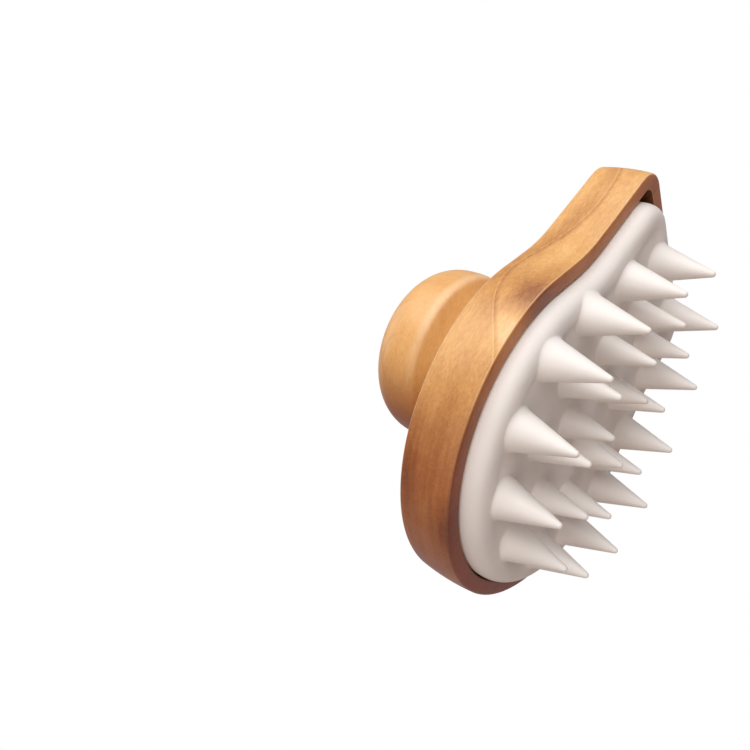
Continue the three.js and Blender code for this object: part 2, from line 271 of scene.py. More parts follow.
head_centre_y = (HEAD_RADIUS - TAIL_REACH) / 2
knob_low, knob_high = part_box("grip_knob")
knob_y = (knob_low.y + knob_high.y) / 2


def outward(direction):
    """The side that lies outside when an outline runs counterclockwise."""
    return Vector((direction.y, -direction.x))


def inset_corner(before, corner, after, inset):
    """The corner moved in together with both of its straight stretches."""
    first = outward((corner - before).normalized())
    second = outward((after - corner).normalized())
    return corner - (first + second) * (inset / (1 + first.dot(second)))


def fillet(before, corner, after, radius, steps):
    """Points of the arc that rounds a corner, from one straight stretch to the other."""
    incoming = (corner - before).normalized()
    outgoing = (after - corner).normalized()
    turn = math.atan2(incoming.x * outgoing.y - incoming.y * outgoing.x, incoming.dot(outgoing))
    side = math.copysign(1, turn)
    start = corner - incoming * (radius * math.tan(abs(turn) / 2))
    centre = start - outward(incoming) * (side * radius)
    normal = outward(incoming)
    first_angle = math.atan2(normal.y, normal.x)
    points = []
    for i in range(steps + 1):
        angle = first_angle + turn * i / steps
        points.append(centre + Vector((math.cos(angle), math.sin(angle))) * (side * radius))
    return points


def straight(start, end, steps):
    """Points strictly between start and end."""
    return [start.lerp(end, i / steps) for i in range(1, steps)]


def outline(inset, tail_reach=TAIL_REACH, rounded_to=TAIL_CORNER_RADIUS):
    """The plate's outline moved in by inset, counterclockwise from the tip of the head."""
    centre = Vector((0, head_centre_y))

    def rim(angle, radius):
        return centre + Vector((math.cos(angle), math.sin(angle))) * radius

    flank_start = rim(FLANK_ANGLE, HEAD_RADIUS)
    flank_length = (KNEE_REACH - HEAD_RADIUS * math.sin(FLANK_ANGLE)) / math.cos(FLANK_ANGLE)
    flank = Vector((-math.sin(FLANK_ANGLE), math.cos(FLANK_ANGLE)))
    knee = flank_start + flank * flank_length
    tail_corner = Vector((TAIL_HALF_WIDTH, head_centre_y + tail_reach))
    tail_middle = Vector((0, head_centre_y + tail_reach))

    sweep = FLANK_ANGLE + math.pi / 2
    half = [
        rim(-math.pi / 2 + sweep * i / HEAD_STEPS, HEAD_RADIUS - inset)
        for i in range(HEAD_STEPS + 1)
    ]
    inner_knee = inset_corner(flank_start, knee, tail_corner, inset)
    inner_corner = inset_corner(knee, tail_corner, tail_middle, inset)
    inner_middle = tail_middle - Vector((0, inset))
    corner_radius = max(rounded_to - inset, SMALLEST_CORNER_RADIUS)
    knee_arc = fillet(half[-1], inner_knee, inner_corner, KNEE_RADIUS + inset, KNEE_STEPS)
    corner_arc = fillet(inner_knee, inner_corner, inner_middle, corner_radius, CORNER_STEPS)
    half += straight(half[-1], knee_arc[0], FLANK_STEPS) + knee_arc
    half += straight(knee_arc[-1], corner_arc[0], TAIL_SIDE_STEPS) + corner_arc
    half += straight(corner_arc[-1], inner_middle, TAIL_END_STEPS) + [inner_middle]
    other = [Vector((-p.x, p.y)) for p in half[1:-1]][::-1]
    return half + other


def outline_ring(inset, z, **shape):
    """The outline as points in metres at height z, also in metres. The inset is in millimetres."""
    return [Vector((p.x * MM, p.y * MM, z)) for p in outline(inset, **shape)]


def circle_ring(radius, z):
    """A circle about the knob's axis with one point on the way to each point of the outline."""
    middle = Vector((0, knob_y, z))
    return [
        Vector((p.x, p.y - knob_y / MM, 0)).normalized() * (radius * MM) + middle
        for p in outline(0)
    ]


def between(first, second, share):
    """The ring that lies this share of the way from the first to the second."""
    return [a.lerp(b, share) for a, b in zip(first, second)]


# ---- Materials ----------------------------------------------------------------------------------

class Shading:
    """A node material with short ways to add and link its nodes."""

    def __init__(self, name):
        self.material = bpy.data.materials.new(name)
        self.material.use_nodes = True
        self.tree = self.material.node_tree
        self.tree.nodes.clear()
        self.output = self.add("OutputMaterial")
        self.shader = self.add("BsdfPrincipled")
        self.tree.links.new(self.shader.outputs["BSDF"], self.output.inputs["Surface"])
        position = self.add("TexCoord")
        self.place = position.outputs["Object"]
        self.facing = position.outputs["Normal"]

    def add(self, kind, inputs=None, **settings):
        made = self.tree.nodes.new("ShaderNode" + kind)
        for key, value in settings.items():
            setattr(made, key, value)
        for key, value in (inputs or {}).items():
            self.set(made.inputs[key], value)
        return made

    def set(self, socket, value):
        if isinstance(value, bpy.types.NodeSocket):
            self.tree.links.new(value, socket)
        else:
            socket.default_value = value

    def finish(self, **values):
        for key, value in values.items():
            self.set(self.shader.inputs[key.replace("_", " ")], value)
        return self.material

    def math(self, operation, first, second=0.0, third=0.0):
        made = self.add("Math", {0: first, 1: second, 2: third}, operation=operation)
        return made.outputs[0]

    def vector(self, operation, first, second=(0, 0, 0), scale=None):
        made = self.add("VectorMath", {0: first, 1: second}, operation=operation)
        if scale is not None:
            self.set(made.inputs["Scale"], scale)
        return made.outputs["Value" if operation == "LENGTH" else "Vector"]

    def times(self, first, second):
        return self.math("MULTIPLY", first, second)

    def component(self, vector, axis):
        """The x, y or z of a vector, for axis 0, 1 or 2."""
        return self.add("SeparateXYZ", {0: vector}).outputs[axis]

    def mapped(self, place, scale=(1, 1, 1), location=(0, 0, 0), rotation=(0, 0, 0)):
        made = self.add(
            "Mapping",
            {"Vector": place, "Scale": scale, "Location": location, "Rotation": rotation},
        )
        return made.outputs[0]

    def noise(self, place, scale, detail=2.0, roughness=0.5, offset=0.0, output=0):
        """Noise stretched by a scale for each axis, in cycles per metre."""
        spot = self.mapped(place, scale, (offset, offset, offset))
        made = self.add(
            "TexNoise",
            {"Vector": spot, "Scale": 1.0, "Detail": detail, "Roughness": roughness},
        )
        return made.outputs[output]

    def ease(self, value, low, high, to_low=0.0, to_high=1.0):
        """A smooth step from to_low, where the value is low, to to_high, where it is high."""
        made = self.add(
            "MapRange",
            {
                "Value": value, "From Min": low, "From Max": high,
                "To Min": to_low, "To Max": to_high,
            },
            interpolation_type="SMOOTHSTEP",
        )
        return made.outputs[0]

    def window(self, value, start, full, fade, end):
        """One from full to fade, easing to nothing at start and at end."""
        return self.times(self.ease(value, start, full), self.ease(value, end, fade))

    def ramp(self, value, stops):
        made = self.add("ValToRGB", {0: value})
        elements = made.color_ramp.elements
        while len(elements) < len(stops):
            elements.new(0.5)
        for element, (position, colour) in zip(elements, stops):
            element.position = position
            element.color = (*colour, 1)
        return made.outputs[0]

    def mix(self, factor, first, second, blend="MIX"):
        """A mix of colours, whose sockets are inputs 6 and 7 and output 2 of the node."""
        made = self.add("Mix", data_type="RGBA", blend_type=blend)
        for index, value in ((0, factor), (6, first), (7, second)):
            self.set(made.inputs[index], (*value, 1) if isinstance(value, tuple) else value)
        return made.outputs[2]

    def bump(self, height, distance, normal=None):
        made = self.add("Bump", {"Height": height, "Distance": distance})
        if normal is not None:
            self.set(made.inputs["Normal"], normal)
        return made.outputs[0]


def growth_rings(shading, place, centre, period, wander, swell=0.0):
    """Growth rings about an axis along Y: (fine latewood line, shade behind it, warped place)."""
    drift = shading.noise(place, (26, 7, 26), detail=2.0, offset=3.1, output=1)
    drift = shading.vector("SUBTRACT", drift, (0.5, 0.5, 0.5))
    drift = shading.vector("SCALE", drift, scale=wander)
    warped = shading.vector("ADD", place, drift)
    flat = shading.vector("MULTIPLY", shading.vector("SUBTRACT", warped, centre), (1, 0, 1))
    distance = shading.math("SUBTRACT", shading.vector("LENGTH", flat), swell)
    phase = shading.math("DIVIDE", distance, period)
    part = shading.math("FRACT", phase)
    line = shading.window(part, 0.90, 0.985, 0.985, 1.0)
    shade = shading.window(part, 0.0, 0.02, 0.02, 0.42)
    return line, shade, warped


def soft_spot(shading, place, centre, reach):
    """One at the centre, falling to nothing at the reach given for each axis."""
    away = shading.vector("SUBTRACT", place, tuple(c * MM for c in centre))
    away = shading.vector("MULTIPLY", away, tuple(1 / (r * MM) for r in reach))
    return shading.ease(shading.vector("LENGTH", away), 1.0, 0.0)


def layered(shading, tone, layers):
    """The tone with each layer added by its amount, counted from the layer's own level."""
    for source, amount, level in layers:
        offset = shading.math("MULTIPLY_ADD", source, amount, -amount * level)
        tone = shading.math("ADD", tone, offset)
    return tone


# Places of the plate's markings and of its painted shade and painted highlights, in metres like the
# coordinates that the nodes give
PLATE_PITH = (-0.006, 0, -0.008)
PLATE_RING_PERIOD = 0.0085
PLATE_RING_START = 0.0452
FIGURE_SWELL = 0.0093
FIGURE_Y = 0.0005
FIGURE_REACH = 0.019
HEAD_STAIN_AND_SHADE_Y = (-0.014, -0.036)
RINGS_SHOWN_Y = (-0.022, -0.012)
POCKET_END_Y = (0.0428, 0.0431)
EDGE_HIGHLIGHT_Y = (-0.030, -0.008)
SHADED_EDGE_Y = (-0.030, -0.042)


def plate_wood():
    shading = Shading("plate_wood")
    place = shading.place
    y = shading.component(place, 1)
    away = shading.math("DIVIDE", shading.math("SUBTRACT", y, FIGURE_Y), FIGURE_REACH)
    bulge = shading.math("EXPONENT", shading.times(shading.times(away, away), -1.0))
    swell = shading.math("MULTIPLY_ADD", bulge, FIGURE_SWELL, PLATE_RING_START)
    line, shade, warped = growth_rings(
        shading, place, PLATE_PITH, PLATE_RING_PERIOD, wander=0.0016, swell=swell
    )
    rings_shown = shading.ease(y, *RINGS_SHOWN_Y)
    line = shading.times(line, rings_shown)
    shade = shading.times(shade, rings_shown)

    facing_y = shading.component(shading.facing, 1)
    facing_z = shading.component(shading.facing, 2)
    upright = shading.ease(facing_z, 0.85, 0.30)
    end_grain_and_painted_shade = shading.times(upright, shading.ease(y, *HEAD_STAIN_AND_SHADE_Y))
    broad = shading.noise(warped, (75, 11, 75), detail=3.0, roughness=0.55, offset=1.3)
    figure = shading.noise(place, (70, 110, 70), detail=2.0, offset=5.9)
    streak = shading.noise(warped, (420, 20, 420), detail=3.0, roughness=0.6, offset=2.2)
    mottle = shading.noise(place, (1500, 420, 1500), detail=3.0, roughness=0.7, offset=6.1)
    fibre = shading.noise(place, (3200, 700, 3200), detail=3.0, roughness=0.75, offset=4.4)
    speckle = shading.noise(place, (5200, 900, 5200), detail=2.0, roughness=0.7, offset=7.7)
    layers = shading.noise(place, (38, 38, 620), detail=3.0, roughness=0.6, offset=8.3)
    layers = shading.times(shading.math("SUBTRACT", layers, 0.5), end_grain_and_painted_shade)
    # Painted sheen: a lighter patch on the wall at the knee
    knee_painted_sheen = soft_spot(shading, place, (39, -9.5, 17.5), (9, 9, 8))
    knee_dark = soft_spot(shading, place, (37, 1.0, 17.5), (8, 8, 7))
    # Painted sheen: a lighter patch on the wall at the tail
    tail_painted_sheen = soft_spot(shading, place, (33, 14.0, 20.0), (9, 9, 8))
    # Painted shade: a darker patch on the back third of the head's wall, which turns away from the
    # light
    head_painted_shade = soft_spot(shading, place, (26, -36.0, 27.0), (14, 14, 6))
    head_painted_shade = shading.times(upright, head_painted_shade)
    tip_dark = soft_spot(shading, place, (18, -42.0, 17.0), (11, 11, 4))

    tone = shading.math("MULTIPLY_ADD", broad, 0.95, 0.09)
    tone = layered(shading, tone, (
        (figure, 0.34, 0.5), (streak, 0.26, 0.5), (mottle, 0.46, 0.5), (fibre, 0.60, 0.5),
        (line, -0.32, 0.0), (shade, -0.20, 0.0), (layers, 0.9, 0.0),
        (knee_painted_sheen, 0.46, 0.0), (knee_dark, -0.40, 0.0), (tail_painted_sheen, 0.20, 0.0),
        (head_painted_shade, -0.45, 0.0), (tip_dark, -0.40, 0.0),
    ))
    colour = shading.ramp(tone, [
        (0.0, (0.290, 0.102, 0.024)),
        (0.35, (0.515, 0.238, 0.064)),
        (0.68, (0.685, 0.366, 0.118)),
        (1.0, (0.820, 0.530, 0.250)),
    ])
    pores = shading.ease(speckle, 0.62, 0.74, 0.0, 0.30)
    colour = shading.mix(pores, colour, (0.26, 0.095, 0.025))

    # The end grain at the head is darker, partly stain and partly painted shade; the rim gets
    # painted shade and the pocket's wall at the tail a painted shadow
    colour = shading.mix(end_grain_and_painted_shade, colour, (0.54, 0.35, 0.27), blend="MULTIPLY")
    # Painted shade on the rim's face, which faces away from the light
    rim = shading.ease(facing_z, -0.55, -0.92)
    colour = shading.mix(rim, colour, (0.68, 0.42, 0.25), blend="MULTIPLY")
    # Painted shadow on the pocket's end wall at the tail, deep in the gap
    tail_wall_painted_shadow = shading.ease(facing_y, -0.6, -0.9)
    tail_wall_painted_shadow = shading.times(shading.ease(y, *POCKET_END_Y), tail_wall_painted_shadow)
    colour = shading.mix(tail_wall_painted_shadow, colour, (0.30, 0.22, 0.20), blend="MULTIPLY")

    # Painted highlights lighten the arrises towards the tail, and painted shade darkens the rim's
    # arris at the head
    tilt = shading.math("ABSOLUTE", facing_z)
    edge_painted_highlight = shading.window(tilt, 0.26, 0.46, 0.58, 0.78)
    edge_painted_highlight = shading.times(edge_painted_highlight, shading.ease(y, *EDGE_HIGHLIGHT_Y, 0.03, 0.34))
    colour = shading.mix(edge_painted_highlight, colour, (0.93, 0.74, 0.50))
    # Painted shade on the rim's arris at the head
    edge_painted_shade = shading.window(facing_z, -0.16, -0.50, -0.60, -0.92)
    edge_painted_shade = shading.times(edge_painted_shade, shading.ease(y, *SHADED_EDGE_Y, 0.0, 0.60))
    colour = shading.mix(edge_painted_shade, colour, (0.070, 0.022, 0.010))

    ripple = shading.noise(place, (130, 60, 130), detail=2.0, offset=9.2)
    normal = shading.bump(ripple, 0.00016)
    normal = shading.bump(mottle, 0.00005, normal=normal)
    normal = shading.bump(fibre, 0.000022, normal=normal)
    roughness = shading.math("MULTIPLY_ADD", mottle, 0.20, 0.34)
    return shading.finish(
        Base_Color=colour, Roughness=roughness, Normal=normal, Specular_IOR_Level=0.42,
        Coat_Weight=0.22, Coat_Roughness=0.24,
    )


# Places of the knob's markings and of its painted shade and painted highlight, in metres: ALONG the
# grain, HEIGHT above the bristles' tips and REACH from the Z axis
KNOB_GRAIN_TURN = (0.05, 0.03, math.radians(39))
KNOB_PITH = (0.300, 0, 0.040)
KNOB_RING_PERIOD = 0.0044
CROWN_HEIGHT = (0.052, 0.059)
END_GRAIN_AND_SHADE_ALONG = (0.003, -0.017)
RIDGE_HEIGHT = (0.0455, 0.0472, 0.0474, 0.0492)
RIDGE_ALONG = (-0.006, 0.012)
TEAR_OUT_REACH = (0.0015, 0.0035, 0.0060, 0.0085)
TEAR_OUT_HEIGHT = (0.058, 0.061)


def knob_wood():
    shading = Shading("knob_wood")
    turned = shading.mapped(shading.place, rotation=KNOB_GRAIN_TURN)
    line, shade, warped = growth_rings(shading, turned, KNOB_PITH, KNOB_RING_PERIOD, wander=0.0022)
    broad = shading.noise(warped, (60, 12, 60), detail=3.0, roughness=0.5, offset=11.3)
    figure = shading.noise(turned, (70, 110, 70), detail=2.0, offset=15.9)
    streak = shading.noise(warped, (480, 18, 480), detail=3.0, roughness=0.6, offset=12.2)
    fibre = shading.noise(turned, (3200, 700, 3200), detail=3.0, roughness=0.75, offset=14.4)
    mottle = shading.noise(turned, (1500, 500, 1500), detail=3.0, roughness=0.7, offset=16.1)
    height = shading.component(shading.place, 2)
    crown_line = shading.times(line, shading.ease(height, *CROWN_HEIGHT))

    tone = shading.math("MULTIPLY_ADD", broad, 0.80, 0.12)
    tone = layered(shading, tone, (
        (figure, 0.24, 0.5), (streak, 0.22, 0.5), (mottle, 0.36, 0.5), (fibre, 0.50, 0.5),
        (line, -0.07, 0.0), (shade, -0.04, 0.0), (crown_line, -0.24, 0.0),
    ))
    colour = shading.ramp(tone, [
        (0.0, (0.430, 0.170, 0.045)),
        (0.35, (0.640, 0.325, 0.104)),
        (0.65, (0.760, 0.432, 0.160)),
        (1.0, (0.840, 0.548, 0.260)),
    ])

    # The end grain is darker, partly stain and partly painted shade on the knob's lower side, and a
    # painted highlight lightens the ridge under the cap to one side
    along = shading.component(turned, 1)
    upright = shading.ease(shading.component(shading.facing, 2), 0.80, 0.20)
    end_grain_and_painted_shade = shading.times(shading.ease(along, *END_GRAIN_AND_SHADE_ALONG), upright)
    colour = shading.mix(end_grain_and_painted_shade, colour, (0.50, 0.29, 0.19), blend="MULTIPLY")
    # Painted highlight along the ridge under the cap
    ridge_painted_highlight = shading.window(height, *RIDGE_HEIGHT)
    ridge_painted_highlight = shading.times(ridge_painted_highlight, shading.ease(along, *RIDGE_ALONG, 0.02, 0.30))
    colour = shading.mix(ridge_painted_highlight, colour, (0.95, 0.76, 0.52))

    # Short tear-out marks in a ring near the top of the dome
    reach = shading.vector("LENGTH", shading.vector("MULTIPLY", shading.place, (1, 1, 0)))
    near_top = shading.window(reach, *TEAR_OUT_REACH)
    near_top = shading.times(near_top, shading.ease(height, *TEAR_OUT_HEIGHT))
    marks = shading.noise(turned, (900, 2100, 900), detail=2.0, roughness=0.6, offset=21.0)
    patches = shading.noise(turned, (170, 170, 170), detail=1.0, offset=23.0)
    marks = shading.times(shading.ease(marks, 0.64, 0.70), shading.ease(patches, 0.50, 0.62))
    marks = shading.times(marks, near_top)
    colour = shading.mix(shading.times(marks, 0.75), colour, (0.33, 0.13, 0.04))

    ripple = shading.noise(turned, (110, 60, 110), detail=2.0, offset=19.2)
    normal = shading.bump(ripple, 0.00016)
    normal = shading.bump(fibre, 0.000018, normal=normal)
    normal = shading.bump(shading.math("SUBTRACT", 1.0, marks), 0.00010, normal=normal)
    roughness = shading.math("MULTIPLY_ADD", fibre, 0.14, 0.34)
    return shading.finish(
        Base_Color=colour, Roughness=roughness, Normal=normal, Specular_IOR_Level=0.38,
        Coat_Weight=0.18, Coat_Roughness=0.22,
    )


def silicone():
    shading = Shading("silicone")
    place = shading.place
    cloud = shading.noise(place, (60, 60, 60), detail=3.0, offset=31.0)
    dust = shading.noise(place, (3800, 3800, 3800), detail=2.0, roughness=0.6, offset=33.0)
    tone = shading.math("MULTIPLY_ADD", cloud, 0.7, shading.times(dust, 0.3))
    colour = shading.ramp(tone, [
        (0.25, (0.800, 0.765, 0.735)),
        (0.75, (0.870, 0.845, 0.820)),
    ])
    wave = shading.noise(place, (240, 240, 240), detail=2.0, offset=37.0)
    normal = shading.bump(wave, 0.00010)
    normal = shading.bump(dust, 0.000012, normal=normal)
    roughness = shading.math("MULTIPLY_ADD", dust, 0.18, 0.42)
    return shading.finish(
        Base_Color=colour, Roughness=roughness, Normal=normal, Specular_IOR_Level=0.4,
        Sheen_Weight=0.08, Sheen_Roughness=0.5,
    )


def screw_steel():
    shading = Shading("screw_steel")
    place = shading.place
    stain = shading.noise(place, (700, 700, 250), detail=3.0, offset=41.0)
    lathe_marks = shading.noise(place, (400, 400, 9000), detail=2.0, roughness=0.6, offset=43.0)
    colour = shading.ramp(stain, [
        (0.3, (0.47, 0.47, 0.46)),
        (0.7, (0.62, 0.62, 0.60)),
    ])
    roughness = shading.math("MULTIPLY_ADD", lathe_marks, 0.25, 0.20)
    normal = shading.bump(lathe_marks, 0.00001)
    return shading.finish(Base_Color=colour, Roughness=roughness, Normal=normal, Metallic=1.0)


def adhesive_film():
    shading = Shading("adhesive_film")
    place = shading.place
    smear = shading.noise(place, (160, 45, 160), detail=4.0, roughness=0.6, offset=51.0)
    colour = shading.ramp(smear, [
        (0.3, (0.56, 0.52, 0.40)),
        (0.7, (0.72, 0.69, 0.58)),
    ])
    roughness = shading.math("MULTIPLY_ADD", smear, 0.35, 0.35)
    normal = shading.bump(smear, 0.00012)
    return shading.finish(Base_Color=colour, Roughness=roughness, Normal=normal)


plate_wood_material = plate_wood()
knob_wood_material = knob_wood()
silicone_material = silicone()
steel_material = screw_steel()
adhesive_material = adhesive_film()


# ---- Pieces -------------------------------------------------------------------------------------

def wooden_plate():
    low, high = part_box("backing_plate")
    rim_z, top_z = low.z, high.z
    floor_z = rim_z + POCKET_DEPTH * MM
    height = (top_z - rim_z) / MM
    quarter = math.pi / 2

    rings = [
        circle_ring(SINK_RADIUS, floor_z),
        between(circle_ring(SINK_RADIUS, floor_z), outline_ring(POCKET_INSET, floor_z), 0.5),
        outline_ring(POCKET_INSET, floor_z),
    ]
    for i in range(ARRIS_STEPS + 1):
        angle = quarter * i / ARRIS_STEPS
        rings.append(outline_ring(
            POCKET_INSET - POCKET_ARRIS * (1 - math.cos(angle)),
            rim_z + POCKET_ARRIS * (1 - math.sin(angle)) * MM,
        ))

    def side(depth):
        """Inset and height of the side wall, from the rim at 0 to the back at 1."""
        swell = 1 - (2 * depth - 1) ** 2
        return WALL_BELLY * (1 - swell), rim_z + height * depth * MM

    arris_share = ARRIS / height
    low_inset, low_z = side(arris_share)
    for i in range(ARRIS_STEPS + 1):
        angle = quarter * (1 - i / ARRIS_STEPS)
        rings.append(outline_ring(
            low_inset + ARRIS * (1 - math.cos(angle)),
            low_z - ARRIS * math.sin(angle) * MM,
        ))
    for i in range(1, WALL_STEPS):
        inset, z = side(arris_share + (1 - 2 * arris_share) * i / WALL_STEPS)
        rings.append(outline_ring(inset, z))
    high_inset, high_z = side(1 - arris_share)
    for i in range(ARRIS_STEPS + 1):
        angle = quarter * i / ARRIS_STEPS
        rings.append(outline_ring(
            high_inset + ARRIS * (1 - math.cos(angle)),
            high_z + ARRIS * math.sin(angle) * MM,
        ))
    edge = outline_ring(high_inset + ARRIS + BACK_MARGIN, top_z)
    recess = circle_ring(RECESS_RADIUS, top_z)
    rings += [edge, between(edge, recess, 0.5), recess]
    rings.append(circle_ring(RECESS_RADIUS, top_z - RECESS_DEPTH * MM))
    rings.append(circle_ring(HOLE_RADIUS, top_z - RECESS_DEPTH * MM))
    rings.append(circle_ring(HOLE_RADIUS, floor_z + SINK_DEPTH * MM))
    rings.append(circle_ring(SINK_RADIUS, floor_z + SINK_LAND * MM))

    made = piece("wooden_plate", *stacked(rings, closed_loop=True), plate_wood_material)
    margin = WAVER_EDGE_MARGIN * MM
    for vertex in made.data.vertices:
        outer = Vector((vertex.co.x, vertex.co.y, 0))
        on_a_wall = rim_z + margin < vertex.co.z < top_z - margin
        if on_a_wall and outer.length > WAVER_INNER_REACH * MM:
            waver = noise.noise(vertex.co * WAVER_PER_METRE) * WAVER * MM
            vertex.co += outer.normalized() * waver
    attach(made, "brush")
    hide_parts("backing_plate")


def wooden_knob():
    radius = (knob_high.x - knob_low.x) / 2 / MM
    tenon_z = knob_low.z / MM
    plate_top_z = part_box("backing_plate")[1].z / MM
    widest_z = plate_top_z + KNOB_WIDEST_HEIGHT
    foot_z = plate_top_z + FIT_GAP
    pilot_z = plate_top_z + PILOT_REACH

    def cap_turn(angle):
        power = 2 / CAP_TURN_FULLNESS
        return (
            radius - CAP_TURN_WIDTH * (1 - math.cos(angle) ** power),
            widest_z - CAP_TURN_DEPTH * math.sin(angle) ** power,
        )

    neck_radius, neck_z = cap_turn(CAP_TURN_ANGLE)

    profile = [
        (0, pilot_z), (PILOT_RADIUS, pilot_z), (PILOT_RADIUS, tenon_z),
        (TENON_RADIUS - TENON_ARRIS, tenon_z), (TENON_RADIUS, tenon_z + TENON_ARRIS),
        (TENON_RADIUS, foot_z),
    ]
    for i in range(KNOB_FOOT_STEPS + 1):
        angle = math.pi / 2 * i / KNOB_FOOT_STEPS
        profile.append((
            KNOB_FOOT_RADIUS - KNOB_FOOT_ROUND * (1 - math.sin(angle)),
            foot_z + KNOB_FOOT_ROUND * (1 - math.cos(angle)),
        ))
    # The first step of the neck would crowd the foot's rounding
    for i in range(2, NECK_STEPS):
        part = i / NECK_STEPS
        profile.append((
            KNOB_FOOT_RADIUS + (neck_radius - KNOB_FOOT_RADIUS) * part ** NECK_FLARE_POWER,
            foot_z + (neck_z - foot_z) * part,
        ))
    for i in range(CAP_TURN_STEPS):
        left = 1 - i / CAP_TURN_STEPS
        profile.append(cap_turn(CAP_TURN_ANGLE * left ** CAP_TURN_SPACING))
    power = 2 / KNOB_DOME_FULLNESS
    for i in range(KNOB_DOME_STEPS):
        angle = math.pi / 2 * i / KNOB_DOME_STEPS
        profile.append((
            radius * math.cos(angle) ** power,
            widest_z + KNOB_DOME_HEIGHT * math.sin(angle) ** power,
        ))
    profile.append((0, widest_z + KNOB_DOME_HEIGHT))
    profile = [(r * MM, z * MM) for r, z in profile]
    made = piece("wooden_knob", *lathe(profile, KNOB_SIDES, knob_y), knob_wood_material)
    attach(made, "brush")
    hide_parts("grip_knob")


def wood_screw():
    low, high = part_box("knob_screw")
    head_radius = (high.x - low.x) / 2 / MM
    shank_radius = head_radius / 2
    length = (high.z - low.z) / MM

    def ring(z, radius_at):
        points = []
        for i in range(SCREW_SIDES):
            angle = TURN * i / SCREW_SIDES
            r = radius_at(z, angle) * MM
            side = Vector((r * math.cos(angle), r * math.sin(angle), z * MM))
            points.append(Vector((0, knob_y, low.z)) + side)
        return points

    def plain(radius):
        return lambda z, angle: radius

    def threaded(z, angle):
        taper = min(1, (length - z) / SCREW_TIP_LENGTH)
        start = min(1, (z - SCREW_SHANK_END) / THREAD_PITCH)
        phase = (z / THREAD_PITCH - angle / TURN) % 1
        crest = max(0, 1 - abs(phase - 0.5) / THREAD_FLANK_SHARE)
        root = shank_radius + (SCREW_CORE_RADIUS * taper - shank_radius) * start
        top = shank_radius * (THREAD_TIP_SHARE + (1 - THREAD_TIP_SHARE) * taper)
        return root + (top - root) * crest * start

    rings = [ring(z, plain(head_radius - inset)) for z, inset in SCREW_RIM]
    rings.append(ring(SCREW_HEAD_HEIGHT, plain(shank_radius)))
    rings.append(ring(SCREW_SHANK_END, plain(shank_radius)))
    thread_length = length - SCREW_POINT_LENGTH - SCREW_SHANK_END
    for k in range(1, THREAD_STEPS + 1):
        rings.append(ring(SCREW_SHANK_END + thread_length * k / THREAD_STEPS, threaded))
    rings.append(ring(length, plain(SCREW_POINT_RADIUS)))
    made = piece("wood_screw", *stacked(rings), steel_material, SCREW_CREASE)

    arms = []
    for z, arm, half in CROSS_RECESS:
        corners = [(arm, -half), (arm, half), (half, half), (half, arm), (-half, arm), (-half, half)]
        corners += [(-x, -y) for x, y in corners]
        arms.append([Vector((x * MM, knob_y + y * MM, low.z + z * MM)) for x, y in corners])
    cutter = piece("screw_recess_cutter", *stacked(arms), steel_material)
    cut = made.modifiers.new("recess", "BOOLEAN")
    cut.operation, cut.solver, cut.object = "DIFFERENCE", "EXACT", cutter
    bpy.context.view_layer.update()
    ready = made.evaluated_get(bpy.context.evaluated_depsgraph_get())
    made.data = bpy.data.meshes.new_from_object(ready)
    made.modifiers.clear()
    bpy.data.objects.remove(cutter)
    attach(made, "brush")
    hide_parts("knob_screw")


def silicone_base():
    low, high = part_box("bristle_base")
    crest_z, top_z = low.z, high.z
    face_z = crest_z + LIP_HEIGHT * MM

    def edge(inset, z):
        return outline_ring(
            POCKET_INSET + BASE_GAP + inset, z,
            tail_reach=TAIL_REACH - BASE_TAIL_GAP, rounded_to=BASE_CORNER_RADIUS,
        )

    floor_inset = SHOULDER_WIDTH + LIP_FALL_WIDTH
    rings = [edge(floor_inset + further, face_z) for further in BASE_FLOOR_INSETS]
    for i in range(LIP_FALL_STEPS):
        share = i / LIP_FALL_STEPS
        fall = (1 + math.cos(math.pi * share)) / 2 * LIP_HEIGHT * MM
        rings.append(edge(floor_inset - LIP_FALL_WIDTH * share, crest_z + fall))
    power = 2 / SHOULDER_FULLNESS
    for i in range(SHOULDER_STEPS + 1):
        angle = math.pi / 2 * (1 - i / SHOULDER_STEPS)
        rings.append(edge(
            SHOULDER_WIDTH * (1 - math.cos(angle) ** power),
            crest_z + SHOULDER_HEIGHT * (1 - math.sin(angle) ** power) * MM,
        ))
    rings.append(edge(0, top_z - BASE_BACK_ARRIS * MM))
    rings.append(edge(BASE_BACK_ARRIS, top_z))
    made = piece("silicone_base", *stacked(rings), silicone_material)
    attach(made, "brush")
    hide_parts("bristle_base")
    return made


def blend_up(first, second, width):
    """The larger of two heights, with a fillet where they are within width of each other."""
    share = max(width - abs(first - second), 0) / width
    return max(first, second) + share * share * width / 4


